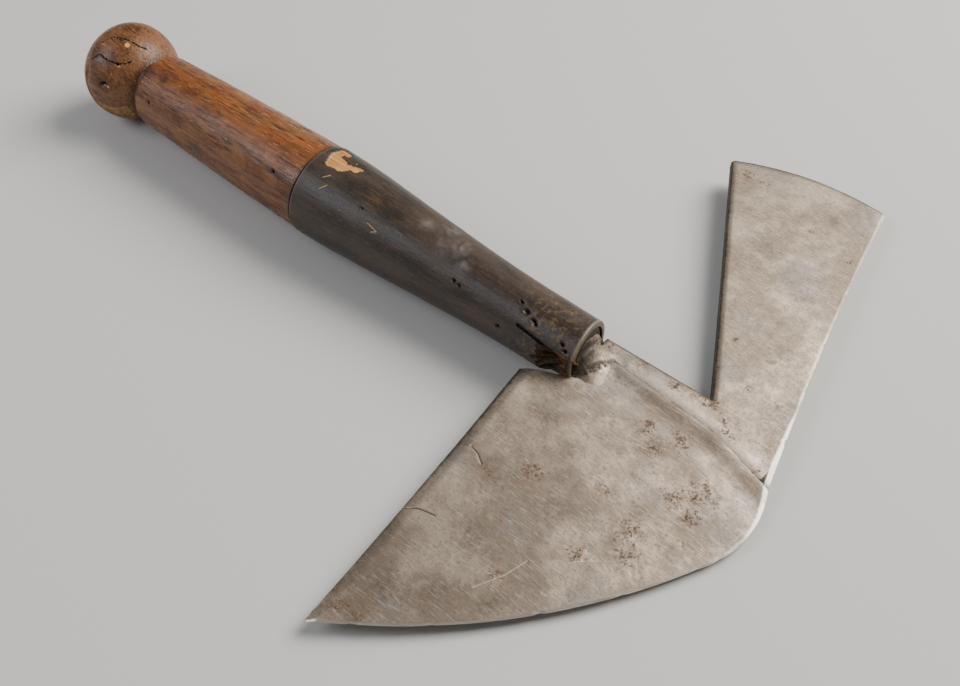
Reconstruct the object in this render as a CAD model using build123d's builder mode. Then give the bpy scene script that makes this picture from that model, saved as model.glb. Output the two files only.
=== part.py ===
"""Antique hand sickle: a hand-forged, two-winged chopping blade on a two-part wooden handle.

The part lies on a flat surface at z = 0, as it rests when it is put down. +X runs along the handle
from the ball pommel to the blade, +Y points to the narrow wing, +Z is up. The origin is the middle
of the footprint. Sizes are in millimetres.

Two local frames carry everything:
  handle frame  origin at the middle of the grip's front face, x back along the handle to the pommel
  blade frame   origin at the top of the blade at the same place, x forward and down the cranked blade
"""
import os
from math import asin, cos, degrees, radians, sin, sqrt

from build123d import *

# ---- driving dimensions ------------------------------------------------------------------------

# rear handle, turned in one with its ball pommel
ball_radius = 20.2
ball_depth = 16.7
ball_from_seam = 114.4
pole_flat = 1.0
neck_radius = 11.4
neck_width = 2.0
shoulder_radius = 15.2
shoulder_round = 3.2
rear_mid_radius = 16.8
rear_mid_at = 176.0
rear_seam_radius = 17.8
spigot_radius = 11.0
spigot_length = 22.0

# front grip, a separate blackened turning that sits over the spigot
grip_length = 126.0
grip_shoulder_at = 106.0
grip_mid_at = 66.0
grip_throat_at = 31.0
grip_seam_radius = 18.2
grip_shoulder_radius = 17.5
grip_mid_radius = 14.7
grip_throat_radius = 12.9
grip_front_radius = 12.6
rim_round = 0.6
rim_width = 2.2

# corner of the grip that has split away beside the blade's heel
break_length = 17.0
break_depth = 5.6
break_top = 1.8

# iron washer let into the grip's front face, inside the rim
washer_thickness = 1.6
washer_recess = 0.8

# blade outline in the blade frame, as (forward, towards the wing)
back_start = 13.2
notch = (43.0, 17.2)
wing_inner = (-20.0, 124.5)
wing_end_bulge = (10.0, 139.4)
wing_outer = (40.6, 142.9)
wing_edge_bulge = (58.9, 64.0)
kink = (76.7, 0.5)
belly_out = (81.4, -20.5)
belly_end = (76.3, -38.4)
edge_bulge = (49.4, -83.6)
tip = (-1.8, -131.9)
heel_bulge = (-6.8, -75.0)
heel = (-13.6, -17.4)
throat = (1.0, -9.8)
crease_bend = (50.0, 6.8)
lobe_end = (8.0, 6.6)
lobe_side = (4.6, -6.2)
lobe_start = (-5.3, -13.4)

# blade section
crank_angle = 6.6
blade_under_height = 8.5
bar_thickness = 5.2
weld_step = 0.6
dish_radius = 1780.0
dish_centre = 25.0
edge_land = 0.8
grind_width = 13.0
wing_grind_width = 8.0
steel_width = 11.0
steel_lean = 22.0
wing_steel_width = 8.0
steel_overrun = 2.0

# tang, a tapered bar forged in one with the wing
tang_length = 168.0
tang_foot = (9.6, 4.4)
tang_foot_reach = 2.6
tang_foot_drop = 5.1
tang_root = (9.6, 6.4)
tang_root_drop = 1.6
tang_shoulder = 4.0
tang_tip = (5.0, 4.0)

# bolster, the swelling of the bar in front of the washer
bolster_gap = 1.0
bolster_height = 5.4
bolster_lead = 15.0
bolster_toe_radius = 10.5
bolster_toe_height = 0.8

# fits
socket_clearance = 0.15
tang_clearance = 0.15
washer_clearance = 0.1
seam_clearance = 0.2

# ---- places worked out from them ---------------------------------------------------------------

handle_tilt = degrees(asin((ball_radius - grip_seam_radius) / ball_from_seam))
seat_height = grip_seam_radius * cos(radians(handle_tilt)) - grip_length * sin(radians(handle_tilt))
ball_centre = grip_length + ball_from_seam
blade_top_height = blade_under_height + bar_thickness
washer_radius = grip_front_radius - rim_width
bolster_radius = washer_radius - bolster_gap
bolster_back = washer_recess - seam_clearance
rearmost = ball_centre * cos(radians(handle_tilt)) + ball_depth
foremost = belly_out[0] * cos(radians(crank_angle))
seat_x = (rearmost - foremost) / 2
seat_y = -(wing_outer[1] + tip[1]) / 2

handle_plane = Plane(
    origin=(seat_x, seat_y, seat_height),
    x_dir=(-cos(radians(handle_tilt)), 0, sin(radians(handle_tilt))),
    z_dir=(0, 1, 0),
)
handle_axis = Axis(handle_plane.origin, handle_plane.x_dir)
blade_plane = Plane(
    origin=(seat_x, seat_y, blade_top_height),
    x_dir=(cos(radians(crank_angle)), 0, -sin(radians(crank_angle))),
    z_dir=(sin(radians(crank_angle)), 0, cos(radians(crank_angle))),
)
underside_radius = dish_radius - bar_thickness
blade_rear = 2 * wing_inner[0]
blade_run = 2 * belly_out[0]
span_margin = 6.0
half_span = max(dish_centre - tip[1], wing_outer[1] - dish_centre) + span_margin
deep = 60.0
overrun = 20.0
grind_stations = 10
stone_inboard = 1.6
stone_outboard = 0.5


def sag(radius, half_chord):
    """Depth of an arc of this radius over this half chord."""
    return radius - sqrt(radius**2 - half_chord**2)


def across_handle(distance, drop=0.0):
    """Plane across the handle, this far back from the grip's front face, x to the wing, y up."""
    centre = handle_plane.from_local_coords((distance, -drop, 0))
    return Plane(origin=centre, x_dir=(0, 1, 0), z_dir=-handle_plane.x_dir)


def across_blade(distance):
    """Plane across the blade, this far forward of its origin, x to the wing, y up."""
    centre = blade_plane.from_local_coords((distance, 0, 0))
    return Plane(origin=centre, x_dir=blade_plane.y_dir, z_dir=blade_plane.x_dir)


def dished_slab(step):
    """Slab between the blade's two dished faces, with its top lowered by step."""
    low = dish_centre - half_span
    high = dish_centre + half_span
    top_edge = -step - sag(dish_radius, half_span)
    bottom_edge = -bar_thickness - sag(underside_radius, half_span)
    with BuildPart() as slab:
        with BuildSketch(across_blade(blade_rear)):
            with BuildLine():
                ThreePointArc((low, top_edge), (dish_centre, -step), (high, top_edge))
                Line((high, top_edge), (high, bottom_edge))
                ThreePointArc((high, bottom_edge), (dish_centre, -bar_thickness), (low, bottom_edge))
                Line((low, bottom_edge), (low, top_edge))
            make_face()
        extrude(amount=blade_run)
    return slab.part


def moved(point, shift):
    """The point moved by shift, both in the blade frame."""
    return (point[0] + shift[0], point[1] + shift[1])


def main_edge(shift=(0.0, 0.0)):
    """The main cutting edge from the kink to the tip, moved by shift."""
    ThreePointArc(moved(kink, shift), moved(belly_out, shift), moved(belly_end, shift))
    ThreePointArc(moved(belly_end, shift), moved(edge_bulge, shift), moved(tip, shift))


def wing_edge(shift=(0.0, 0.0)):
    """The wing's cutting edge from its outer corner to the kink, moved by shift."""
    ThreePointArc(moved(wing_outer, shift), moved(wing_edge_bulge, shift), moved(kink, shift))


def weld_line():
    """Forge weld between main blade and bar: round the lobe, then along the crease to the kink."""
    ThreePointArc(lobe_start, lobe_side, lobe_end)
    Line(lobe_end, crease_bend)
    Line(crease_bend, kink)


def grindstone(edge_path, width):
    """What the grindstone takes off the underside along an edge, leaving a thin land."""
    rise = bar_thickness - edge_land
    inboard = (-stone_inboard * width, -stone_inboard * rise)
    outboard = (stone_outboard * width, stone_outboard * rise)
    distances = [-overrun, *[edge_path.length * i / grind_stations for i in range(grind_stations + 1)],
                 edge_path.length + overrun]
    with BuildPart() as cutter:
        for distance in distances:
            on_edge = min(max(distance, 0), edge_path.length)
            along = edge_path.tangent_at(on_edge, position_mode=PositionMode.LENGTH)
            point = edge_path.position_at(on_edge, position_mode=PositionMode.LENGTH)
            point += along * (distance - on_edge)
            height = -edge_land - sag(dish_radius, point.Y - dish_centre)
            station = Plane(
                origin=blade_plane.from_local_coords((point.X, point.Y, height)),
                x_dir=blade_plane.x_dir * -along.Y + blade_plane.y_dir * along.X,
                z_dir=blade_plane.x_dir * along.X + blade_plane.y_dir * along.Y,
            )
            with BuildSketch(station):
                with BuildLine():
                    Polyline(inboard, outboard, (outboard[0], inboard[1]), close=True)
                make_face()
        loft(ruled=True)
    return cutter.part


def tang_solid(clearance):
    """Tapered tang on the handle axis, or with a clearance the hole burnt for it."""
    wide = 2 * clearance
    with BuildPart() as bar:
        with BuildSketch(across_handle(-tang_foot_reach, tang_foot_drop)):
            Rectangle(tang_foot[0] + wide, tang_foot[1] + wide)
        with BuildSketch(across_handle(tang_shoulder, tang_root_drop)):
            Rectangle(tang_root[0] + wide, tang_root[1] + wide)
        with BuildSketch(across_handle(tang_length + clearance)):
            Rectangle(tang_tip[0] + wide, tang_tip[1] + wide)
        loft(ruled=True)
    return bar.part


def steel_region(path_maker, shift, corners):
    """Prism over everything outboard of an edge curve moved inboard by shift."""
    with BuildPart() as region:
        with BuildSketch(blade_plane.offset(-deep / 2)):
            with BuildLine() as border:
                path_maker(shift)
                Polyline(border.line @ 1, *corners, border.line @ 0)
            make_face()
        extrude(amount=deep)
    return region.part


# ---- forgings before the steel is told apart ----------------------------------------------------

with BuildLine() as wing_path:
    wing_edge()
with BuildLine() as main_path:
    main_edge()

with BuildPart() as wing_forging:
    with BuildSketch(blade_plane.offset(-deep / 2)):
        with BuildLine():
            wing_edge()
            weld_line()
            Line(lobe_start, throat)
            Line(throat, (throat[0], back_start))
            Line((throat[0], back_start), notch)
            Line(notch, wing_inner)
            ThreePointArc(wing_inner, wing_end_bulge, wing_outer)
        make_face()
    extrude(amount=deep)
    add(dished_slab(0), mode=Mode.INTERSECT)
    add(grindstone(wing_path.wire(), wing_grind_width), mode=Mode.SUBTRACT)

with BuildPart() as main_forging:
    with BuildSketch(blade_plane.offset(-deep / 2)):
        with BuildLine():
            weld_line()
            main_edge()
            ThreePointArc(tip, heel_bulge, heel)
            Line(heel, lobe_start)
        make_face()
    extrude(amount=deep)
    add(dished_slab(weld_step), mode=Mode.INTERSECT)
    add(grindstone(main_path.wire(), grind_width), mode=Mode.SUBTRACT)

beyond_x = 2 * belly_out[0]
wing_steel = steel_region(
    wing_edge,
    (-wing_steel_width, steel_overrun),
    [(kink[0] - wing_steel_width, -steel_width), (beyond_x, -steel_width),
     (beyond_x, 2 * wing_outer[1]), (wing_outer[0] - wing_steel_width, 2 * wing_outer[1])],
)
main_steel = steel_region(
    main_edge,
    (-steel_width * cos(radians(steel_lean)), steel_width * sin(radians(steel_lean))),
    [(tip[0] - steel_width, 2 * tip[1]), (beyond_x, 2 * tip[1]), (beyond_x, steel_width)],
)

# ---- bolster, lying on the main blade where the scarf laps over it -------------------------------

with BuildPart() as bolster:
    with BuildSketch(across_handle(bolster_back)):
        Ellipse(bolster_radius, bolster_height)
    with BuildSketch(across_blade(bolster_lead)):
        Ellipse(bolster_toe_radius, bolster_toe_height)
    loft(ruled=True)
    split(bisect_by=blade_plane.offset(-bar_thickness / 2), keep=Keep.TOP)
    add(main_forging.part, mode=Mode.SUBTRACT)

# ---- wing and tang: the wing, the bar, the lobe round the handle and the tang, one forging ------

with BuildPart() as wing_and_tang:
    add(wing_forging.part)
    add(wing_steel, mode=Mode.SUBTRACT)
    add(bolster.part)
    add(tang_solid(0))
wing_and_tang.part.label = "wing_and_tang"

# ---- main blade: the plate forge-welded to the bar along the crease -----------------------------

with BuildPart() as main_blade:
    add(main_forging.part)
    add(main_steel, mode=Mode.SUBTRACT)
main_blade.part.label = "main_blade"

# ---- laid steel: the hard cutting edges let into the iron ---------------------------------------

with BuildPart() as wing_edge_steel:
    add(wing_forging.part)
    add(wing_steel, mode=Mode.INTERSECT)
wing_edge_steel.part.label = "wing_edge_steel"

with BuildPart() as main_edge_steel:
    add(main_forging.part)
    add(main_steel, mode=Mode.INTERSECT)
main_edge_steel.part.label = "main_edge_steel"

# ---- iron washer let into the grip round the tang -----------------------------------------------

with BuildPart() as grip_washer:
    with BuildSketch(across_handle(washer_recess + washer_thickness)):
        Circle(washer_radius)
    extrude(amount=washer_thickness)
    add(tang_solid(tang_clearance), mode=Mode.SUBTRACT)
grip_washer.part.label = "grip_washer"

# ---- front grip: blackened turning, bored for the tang and socketed for the spigot --------------

with BuildPart() as front_grip:
    with BuildSketch(handle_plane):
        with BuildLine():
            Line((0, 0), (0, grip_front_radius - rim_round))
            ThreePointArc(
                (0, grip_front_radius - rim_round),
                (rim_round * (1 - sqrt(0.5)), grip_front_radius - rim_round * (1 - sqrt(0.5))),
                (rim_round, grip_front_radius),
            )
            Spline(
                (rim_round, grip_front_radius),
                (grip_throat_at, grip_throat_radius),
                (grip_mid_at, grip_mid_radius),
                (grip_shoulder_at, grip_shoulder_radius),
                (grip_length, grip_seam_radius),
            )
            Line((grip_length, grip_seam_radius), (grip_length, 0))
            Line((grip_length, 0), (0, 0))
        make_face()
    revolve(axis=handle_axis)
    with BuildSketch(across_handle(washer_recess + washer_thickness)):
        Circle(washer_radius + washer_clearance)
    extrude(amount=deep, mode=Mode.SUBTRACT)
    with BuildSketch(across_handle(grip_length)):
        Circle(spigot_radius + socket_clearance)
    extrude(amount=spigot_length + socket_clearance, mode=Mode.SUBTRACT)
    add(tang_solid(tang_clearance), mode=Mode.SUBTRACT)
    with BuildSketch(blade_plane.offset(break_top)):
        with BuildLine():
            Polyline(
                (break_depth, -break_depth),
                (0, -break_depth),
                (-break_length, -grip_throat_radius),
                (-break_length, -2 * grip_throat_radius),
                (break_depth, -2 * grip_throat_radius),
                close=True,
            )
        make_face()
    extrude(amount=-deep, mode=Mode.SUBTRACT)
front_grip.part.label = "front_grip"

# ---- rear handle: red-brown turning with the ball pommel, the neck and the spigot ---------------

seam = grip_length + seam_clearance
neck_end = ball_centre - sqrt(ball_radius**2 - neck_radius**2)
neck_start = neck_end - neck_width
neck_angle = asin(neck_radius / ball_radius)
mid_angle = (neck_angle + radians(90)) / 2
pole_angle = asin(pole_flat / ball_radius)
ball_end = ball_centre + ball_depth * cos(pole_angle)
shoulder = neck_start - shoulder_round
spigot_end = grip_length - spigot_length
shoulder_diagonal = shoulder_round * sqrt(0.5)

with BuildPart() as rear_handle:
    with BuildSketch(handle_plane):
        with BuildLine():
            Line((spigot_end, 0), (spigot_end, spigot_radius))
            Line((spigot_end, spigot_radius), (seam, spigot_radius))
            Line((seam, spigot_radius), (seam, rear_seam_radius))
            Spline((seam, rear_seam_radius), (rear_mid_at, rear_mid_radius), (shoulder, shoulder_radius))
            ThreePointArc(
                (shoulder, shoulder_radius),
                (shoulder + shoulder_diagonal, shoulder_radius - shoulder_round + shoulder_diagonal),
                (neck_start, shoulder_radius - shoulder_round),
            )
            Line((neck_start, shoulder_radius - shoulder_round), (neck_start, neck_radius))
            Line((neck_start, neck_radius), (neck_end, neck_radius))
            ThreePointArc(
                (neck_end, neck_radius),
                (ball_centre - ball_radius * cos(mid_angle), ball_radius * sin(mid_angle)),
                (ball_centre, ball_radius),
            )
            EllipticalCenterArc(
                (ball_centre, 0),
                ball_depth,
                ball_radius,
                start_angle=degrees(pole_angle),
                arc_size=90 - degrees(pole_angle),
            )
            Line((ball_end, pole_flat), (ball_end, 0))
            Line((ball_end, 0), (spigot_end, 0))
        make_face()
    revolve(axis=handle_axis)
    add(tang_solid(tang_clearance), mode=Mode.SUBTRACT)
rear_handle.part.label = "rear_handle"

os.makedirs("parts", exist_ok=True)
export_step(wing_and_tang.part, "parts/wing_and_tang.step")
export_step(main_blade.part, "parts/main_blade.step")
export_step(wing_edge_steel.part, "parts/wing_edge_steel.step")
export_step(main_edge_steel.part, "parts/main_edge_steel.step")
export_step(grip_washer.part, "parts/grip_washer.step")
export_step(front_grip.part, "parts/front_grip.step")
export_step(rear_handle.part, "parts/rear_handle.step")
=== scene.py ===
# %% [markdown]
# # An antique hand sickle
# A village smith forged this two-winged blade and a turner made its handle in two pieces: a
# blackened front grip and a red-brown rear handle that ends in a ball. The sickle lies on a table.
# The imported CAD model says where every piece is. Each piece below is modelled again in its place,
# with the dents, cracks and rust that a hundred years of work have left on it.
# Lengths are millimetres, and every mesh is scaled to metres once, at its end. Only the table and the
# lights are given in metres.

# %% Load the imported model
from math import asin, atan2, cos, pi, radians, sin

import bmesh
import bpy
import numpy as np
from mathutils import Matrix, Vector, noise
from mathutils.kdtree import KDTree


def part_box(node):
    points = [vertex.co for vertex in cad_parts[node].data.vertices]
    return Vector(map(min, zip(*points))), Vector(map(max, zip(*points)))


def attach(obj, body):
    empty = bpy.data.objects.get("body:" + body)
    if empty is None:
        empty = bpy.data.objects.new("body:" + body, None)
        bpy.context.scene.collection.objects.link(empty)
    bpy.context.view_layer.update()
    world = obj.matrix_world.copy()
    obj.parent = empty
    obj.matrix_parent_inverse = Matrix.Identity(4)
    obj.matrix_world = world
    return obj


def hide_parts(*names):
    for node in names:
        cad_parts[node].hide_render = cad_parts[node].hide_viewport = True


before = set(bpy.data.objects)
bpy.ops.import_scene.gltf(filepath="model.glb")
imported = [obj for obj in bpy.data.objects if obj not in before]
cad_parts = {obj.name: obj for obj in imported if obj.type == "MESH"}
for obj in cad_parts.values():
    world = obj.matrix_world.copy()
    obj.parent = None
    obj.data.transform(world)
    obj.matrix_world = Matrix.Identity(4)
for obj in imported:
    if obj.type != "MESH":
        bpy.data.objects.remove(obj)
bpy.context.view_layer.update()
mm = 0.001
print("CAD nodes:", sorted(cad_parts))

# %% [markdown]
# ## Two working frames
# A smith and a turner don't measure from the same place. The blade is flat sheet, so its frame has
# u running forward down the cranked blade, v running towards the narrow wing, and w up from the
# blade's face. The handle is round, so its frame runs back along its axis from the grip's face.
# Both come from the boxes of the CAD pieces: the ball, worn flatter at its end, gives the handle's
# rear end, and the washer its front end. A matrix then carries a finished mesh from its own frame
# to the shared one.

# %% Handle frame and blade frame
washer_middle = 1.6
crank = radians(6.6)
blade_top_height = 13.7
ball_depth = 16.7


def middle(node):
    """Middle of a CAD node's box, in millimetres."""
    low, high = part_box(node)
    return (low + high) / (2 * mm)


def frame_matrix(origin, along, upward):
    """Matrix from a frame in millimetres to the shared frame in metres."""
    across = upward.cross(along)
    axes = Matrix((along, across, upward)).transposed().to_4x4()
    return Matrix.Scale(mm, 4) @ Matrix.Translation(origin) @ axes


rear_low, rear_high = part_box("rear_handle")
ball_radius = (rear_high.z - rear_low.z) / (2 * mm)
ball_place = Vector((rear_low.x / mm + ball_depth, middle("rear_handle").y, ball_radius))
handle_along = (ball_place - middle("grip_washer")).normalized()
grip_face = middle("grip_washer") - handle_along * washer_middle
handle_up = Vector((handle_along.z, 0, -handle_along.x))
handle_to_row = frame_matrix(grip_face, handle_along, handle_up)
blade_to_row = frame_matrix(
    Vector((grip_face.x, grip_face.y, blade_top_height)),
    Vector((cos(crank), 0, -sin(crank))),
    Vector((sin(crank), 0, cos(crank))),
)
ball_at = (ball_place - grip_face).length
print(f"ball radius {ball_radius:.1f} mm, {ball_at:.1f} mm behind the grip's face")

# %% [markdown]
# ## Camera
# The sickle is seen from above the blade's tip, looking down along the handle towards the ball.
# A long lens keeps the handle from shrinking much towards its far end.

# %% Camera
camera_place = Vector((256.35, -255.2, 346.0))
camera_aim = Vector((-0.4413, 0.5131, -0.7361))

camera_data = bpy.data.cameras.new("camera")
camera_data.lens = 48.75
camera_data.sensor_width = 36.0
camera = bpy.data.objects.new("camera", camera_data)
bpy.context.scene.collection.objects.link(camera)
camera.location = camera_place * mm
camera.rotation_euler = camera_aim.to_track_quat("-Z", "Y").to_euler()
bpy.context.scene.camera = camera
print("camera at", tuple(round(c, 3) for c in camera.location))

# %% [markdown]
# ## Lines drawn on the blade
# A smith cuts a blade to a few chalked arcs. The same arcs serve here: the cutting edge, the heel,
# the wing's end, and the weld where the main plate was forged onto the bar. Every dent, bevel and
# ground edge below is worked out from its distance to one of these lines, so that neighbouring
# pieces always agree where they meet.

# %% Blade lines
kink = (76.7, 0.5)
belly_out = (81.4, -20.5)
belly_end = (76.3, -38.4)
edge_bulge = (49.4, -83.6)
tip = (-1.8, -131.9)
heel_bulge = (-6.8, -75.0)
heel = (-13.6, -17.4)
lobe_start = (-5.3, -13.4)
lobe_side = (4.6, -6.2)
lobe_end = (8.0, 6.6)
crease_bend = (50.0, 6.8)
wing_inner = (-20.0, 124.5)
wing_end_bulge = (10.0, 139.4)
wing_outer = (40.6, 142.9)
wing_edge_bulge = (58.9, 64.0)
throat = (1.0, -9.8)
back_start = (1.0, 13.2)
notch = (43.0, 17.2)


def arc(start, through, end, steps=160):
    """Points on the round arc from start through a middle point to end."""
    a, b, c = (np.array(p, float) for p in (start, through, end))
    rows = np.array([b - a, c - a])
    centre = a + np.linalg.solve(rows, (rows**2).sum(1) / 2)
    angles = np.unwrap([atan2(*(p - centre)[::-1]) for p in (a, b, c)])
    turn = np.linspace(angles[0], angles[2], steps + 1)
    return centre + np.hypot(*(a - centre)) * np.column_stack((np.cos(turn), np.sin(turn)))


def line(*corners, step=0.25):
    """Points a short step apart along straight runs between the corners."""
    runs = []
    for start, end in zip(corners, corners[1:]):
        count = max(2, int(np.hypot(end[0] - start[0], end[1] - start[1]) / step))
        runs.append(np.linspace(start, end, count))
    return np.vstack(runs)


main_edge = np.vstack((arc(kink, belly_out, belly_end), arc(belly_end, edge_bulge, tip, 500)[1:]))
wing_edge = arc(wing_outer, wing_edge_bulge, kink, 600)
heel_line = arc(tip, heel_bulge, heel, 460)
weld = np.vstack((arc(lobe_start, lobe_side, lobe_end), line(lobe_end, crease_bend, kink)))
wing_end = arc(wing_inner, wing_end_bulge, wing_outer, 300)
back_edge = line(throat, back_start, notch, wing_inner)


def distances(points, path):
    """How far each point lies from a path of closely spaced points."""
    tree = KDTree(len(path))
    for index, spot in enumerate(path):
        tree.insert((*spot, 0) if len(spot) == 2 else spot, index)
    tree.balance()
    return np.array([tree.find((*p, 0) if len(p) == 2 else p)[2] for p in points])


def fade(distance, reach):
    """1 on a line, falling smoothly to 0 at the reach."""
    x = np.clip(1 - distance / reach, 0, 1)
    return x * x * (3 - 2 * x)


print(f"main edge {np.hypot(*np.diff(main_edge, axis=0).T).sum():.0f} mm long")

# %% [markdown]
# ## Wear marks on the iron
# Rust settles where water stood, and hammer scale stays in hollows. Each mark is a short line or a
# spot with a width, put where the real blade carries one. Marks of one kind become one attribute on
# the mesh, which the material reads, and pits and cracks are sunk into the mesh as well.

# %% Marks on the blade, as (u, v, radius) or as a short path with a width
rust_spots = [
    (16.8, -46.3, 6.0), (14.0, -51.5, 3.5), (34.0, -6.5, 5.5), (44.0, -4.5, 6.5), (40.0, -13.0, 5.0),
    (53.0, -43.0, 8.0), (57.5, -51.0, 7.0), (61.5, -17.0, 9.0), (64.0, -26.0, 6.0), (56.0, -24.0, 6.0),
    (31.2, -83.1, 4.5), (55.0, 8.9, 4.5), (50.3, 13.0, 3.5), (71.0, 3.6, 3.0), (5.0, -57.0, 3.0),
    (-10.5, 120.6, 4.6), (-3.0, 120.8, 4.2), (24.7, 111.6, 1.8), (44.0, 108.3, 2.6), (52.0, 88.8, 2.4),
    (4.0, 11.6, 3.6), (16.2, 12.6, 4.4), (30.8, 13.8, 4.4), (38.0, 15.0, 3.4), (43.0, 15.0, 5.0),
    (68.4, -1.3, 1.6), (2.0, -121.0, 6.0), (10.0, -120.5, 5.0), (36.0, 30.0, 2.4), (34.0, 45.0, 2.6),
    (45.0, -60.0, 5.0), (38.0, -36.0, 4.0), (49.0, 30.0, 3.0), (2.0, 80.0, 3.0), (-12.0, -60.0, 3.0),
]
dark_spots = [
    (10.2, -57.5, 6.0), (0.0, -41.0, 10.0), (18.0, -80.4, 12.0), (20.2, -98.4, 11.0), (8.0, -108.0, 9.0),
    (40.6, 77.8, 7.0), (18.8, 91.3, 9.0), (4.0, -26.0, 9.0), (36.0, -92.0, 6.0), (60.0, 30.0, 6.0),
    (30.0, -55.0, 9.0), (66.0, -40.0, 7.0), (28.0, 124.0, 8.0), (50.0, 50.0, 8.0), (5.0, 4.0, 8.0),
]
cracks = [
    [(-6.5, -85.0), (-0.9, -81.5), (4.2, -80.0)],
    [(-4.3, -53.1), (-1.0, -53.8), (2.6, -56.0)],
    [(67.2, -38.7), (68.4, -36.4), (67.3, -34.4)],
]
hairlines = [
    [(29.0, -90.4), (33.6, -80.7), (35.6, -72.4)],
    [(45.3, -64.3), (49.7, -59.5), (52.4, -57.2)],
    [(60.0, 21.8), (64.2, 24.0), (67.5, 22.7), (70.5, 24.7)],
    [(61.0, 26.2), (63.2, 29.0), (66.4, 29.2)],
    [(59.9, 60.2), (63.4, 61.2)],
]
nicks = [
    (49.0, -82.9, 0.5), (63.5, -61.5, 0.35), (27.0, -107.0, 0.5), (78.5, -31.0, 0.4), (64.0, 44.0, 0.4),
    (52.5, 92.0, 0.45), (70.5, 20.0, 0.5), (10.0, -123.5, 0.4),
]


def spots(points, marks):
    """How strongly each point is touched by the nearest of the round marks."""
    touch = np.zeros(len(points))
    for u, v, radius in marks:
        touch = np.maximum(touch, fade(np.hypot(points[:, 0] - u, points[:, 1] - v), radius * 1.6))
    return touch


def strokes(points, paths, width):
    """How strongly each point is touched by the nearest of the thin marks."""
    touch = np.zeros(len(points))
    for path in paths:
        touch = np.maximum(touch, fade(distances(points, line(*path, step=0.15)), width))
    return touch


def grain(points, size, seed):
    """Smooth random values about 0, with lumps of this size."""
    if len(points[0]) == 2:
        return np.array([noise.noise(Vector((p[0] / size, p[1] / size, seed))) for p in points])
    return np.array([noise.noise(Vector(p) / size + Vector((seed, 0, 0))) for p in points])


print(len(rust_spots), "rust spots,", len(cracks), "cracks,", len(hairlines), "hairline scratches")

# %% [markdown]
# ## The blade's section
# The face is dished a little along its length. The main plate lies lower than the bar and wing,
# and was drawn down to them in a hollow slope beside the weld. The heel is rounded over by the
# hammer, the wing's end and back have a filed bevel, and the grindstone left a bright narrow
# bevel along the cutting edge. All of that is one height function of u and v, in millimetres.

# %% Height of the face and of the underside
dish_radius = 1780.0
dish_centre = 25.0
plate_thickness = 5.2
weld_step = 0.6
edge_land = 0.8
main_grind = 13.0
wing_grind = 8.0
crack_width = 0.32
hairline_width = 0.3
heel_drop, heel_reach = 1.5, 4.4
end_drop = 1.3
back_drop, back_reach = 0.7, 1.3
# Unevenness left by the hammer, as (rise, size of its lumps, seed).
hammering = [(0.16, 17.0, 3.0), (0.05, 5.0, 8.0), (0.018, 1.3, 12.0)]


def dish(v, radius=dish_radius):
    """Height lost to the dish at this distance across the blade."""
    return radius - np.sqrt(radius**2 - (v - dish_centre) ** 2)


def relief(points, side):
    """What hammer, file and rust add to the face; side is main or wing."""
    from_weld = distances(points, weld)
    height = sum(rise * grain(points, size, seed) for rise, size, seed in hammering)
    if side == "main":
        height += weld_step * fade(from_weld, 6.5) - 0.16 * fade(abs(from_weld - 8.0), 6.0)
        height -= heel_drop * fade(distances(points, heel_line), heel_reach) ** 1.5
    else:
        height -= 0.2 * fade(from_weld, 2.4)
        taper = np.clip((wing_outer[0] - points[:, 0]) / (wing_outer[0] - wing_inner[0]), 0, 1)
        height -= end_drop * taper * fade(distances(points, wing_end), 0.8 + 2.4 * taper)
        height -= back_drop * fade(distances(points, back_edge), back_reach)
    height -= 0.16 * fade(from_weld, 0.9)
    height -= 0.25 * np.clip(grain(points, 1.7, 21.0) - 0.1, 0, 1) * spots(points, rust_spots)
    height -= 0.25 * strokes(points, cracks, crack_width)
    return height


def bevel_width(points):
    """Width of the bright whetted bevel, widest round the kink and up the wing."""
    near_kink = fade(np.hypot(points[:, 0] - kink[0], points[:, 1] - kink[1] - 6), 30.0)
    return 0.75 + 1.5 * near_kink + 0.3 * grain(points, 9.0, 30.0)


def underside_rise(from_edge, width):
    """How far the grindstone has raised the underside at this distance from the edge."""
    return (plate_thickness - edge_land) * np.clip(1 - from_edge / width, 0, 1)


print(f"face falls {dish(np.array([-132.0]))[0]:.1f} mm at the tip")

# %% [markdown]
# ## Turning a mesh into a piece
# Every piece ends the same way: it goes from its own frame to the shared one, it is smoothed, it
# rides on the CAD body, and the CAD node it replaces is hidden. The attributes are written beside
# the shape, one value for each vertex.

# %% Finish a piece
sharp_angle = radians(38)


def coordinates(bm):
    """The places of a bmesh's vertices as an array."""
    return np.array([v.co for v in bm.verts])


def place(bm, places):
    """Move the vertices of a bmesh to these places."""
    for vert, spot in zip(bm.verts, places):
        vert.co = spot


def finish_piece(name, bm, to_row, marks):
    """Make an object of the bmesh, in the shared frame, and hide the CAD node name."""
    bmesh.ops.transform(bm, matrix=to_row, verts=bm.verts)
    bmesh.ops.triangulate(bm, faces=[f for f in bm.faces if len(f.verts) > 4])
    bmesh.ops.recalc_face_normals(bm, faces=bm.faces)
    for face in bm.faces:
        face.smooth = True
    for edge in bm.edges:
        edge.smooth = len(edge.link_faces) < 2 or edge.calc_face_angle(0) < sharp_angle
    mesh = bpy.data.meshes.new(name + "_forged" if to_row is blade_to_row else name + "_turned")
    bm.to_mesh(mesh)
    bm.free()
    for mark, values in marks.items():
        layer = mesh.attributes.new(mark, "FLOAT", "POINT")
        layer.data.foreach_set("value", np.asarray(values, np.float32))
    piece = bpy.data.objects.new(mesh.name, mesh)
    bpy.context.scene.collection.objects.link(piece)
    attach(piece, "root")
    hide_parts(name)
    print(piece.name, len(mesh.polygons), "faces")
    return piece


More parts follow.
